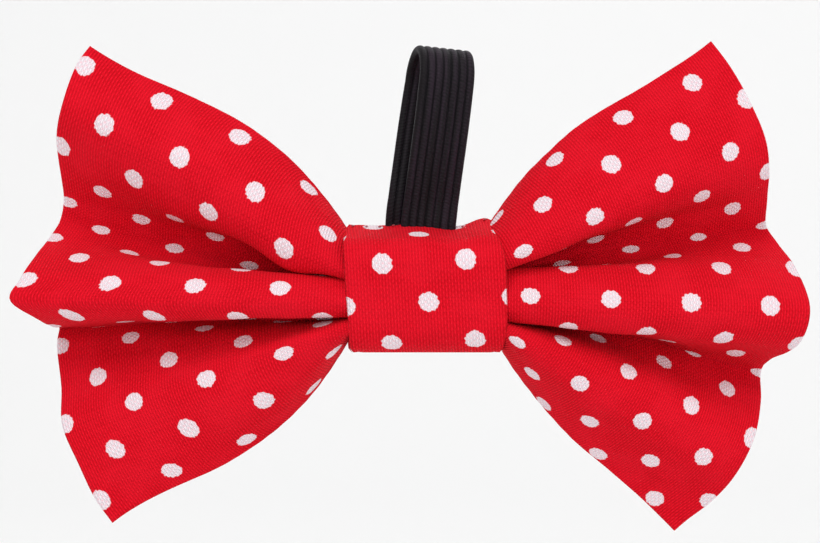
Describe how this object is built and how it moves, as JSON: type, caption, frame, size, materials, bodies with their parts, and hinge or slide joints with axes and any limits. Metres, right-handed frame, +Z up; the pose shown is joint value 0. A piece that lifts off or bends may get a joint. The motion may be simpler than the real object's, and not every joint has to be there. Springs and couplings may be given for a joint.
{
  "type": "bow tie",
  "caption": "Pre-tied pleated bow tie of dotted cloth with a wide centre wrap and a braided elastic loop that slips over a collar.",
  "frame": {"origin": "middle of the wrap's flat back face, which seats on a collar", "axes": "+X along the bow to the right as seen from the front, +Y backwards out of the flat back face, +Z up; the front faces -Y"},
  "size_m": [0.1004, 0.0146, 0.0609],
  "materials": {
    "dotted_cotton": "plain-weave cotton, red with staggered white dots",
    "fusible_interfacing": "matt non-woven",
    "sewing_thread": "twisted polyester thread, dark red",
    "braided_elastic": "ribbed braid over rubber cores, black"
  },
  "bodies": {
    "knot": {"gathered_waist": "dotted_cotton", "gathering_thread": "sewing_thread", "centre_wrap": "dotted_cotton", "wrap_interfacing": "fusible_interfacing", "wrap_closing_stitches": "sewing_thread", "elastic_tails": "braided_elastic", "elastic_bar_tack": "sewing_thread"},
    "left_wing": {"left_front_cloth": "dotted_cotton", "left_interfacing": "fusible_interfacing", "left_back_cloth": "dotted_cotton", "left_edge_seam": "sewing_thread"},
    "right_wing": {"right_front_cloth": "dotted_cotton", "right_interfacing": "fusible_interfacing", "right_back_cloth": "dotted_cotton", "right_edge_seam": "sewing_thread"},
    "loop_base": {"elastic_front_strand": "braided_elastic", "elastic_back_strand": "braided_elastic"},
    "loop_crown": {"elastic_crown": "braided_elastic"}
  },
  "joints": [
    {"name": "left_wing_flex", "type": "hinge", "parent": "knot", "child": "left_wing", "pos_m": [-0.0105, -0.0054, 0], "axis": [0, 0, 1], "range_deg": [-20, 20], "stiffness_Nm_per_rad": 0.004},
    {"name": "right_wing_flex", "type": "hinge", "parent": "knot", "child": "right_wing", "pos_m": [0.0105, -0.0054, 0], "axis": [0, 0, 1], "range_deg": [-20, 20], "stiffness_Nm_per_rad": 0.004},
    {"name": "loop_fold", "type": "hinge", "parent": "knot", "child": "loop_base", "pos_m": [0.0004, -0.00267, 0.00945], "axis": [-0.9945, -0.1045, 0], "range_deg": [0, 90], "stiffness_Nm_per_rad": 0.0006},
    {"name": "loop_stretch", "type": "slide", "parent": "loop_base", "child": "loop_crown", "axis": [0, 0, 1], "range_m": [0, 0.012], "stiffness_N_per_m": 60, "deforming": ["elastic_front_strand", "elastic_back_strand"]}
  ]
}
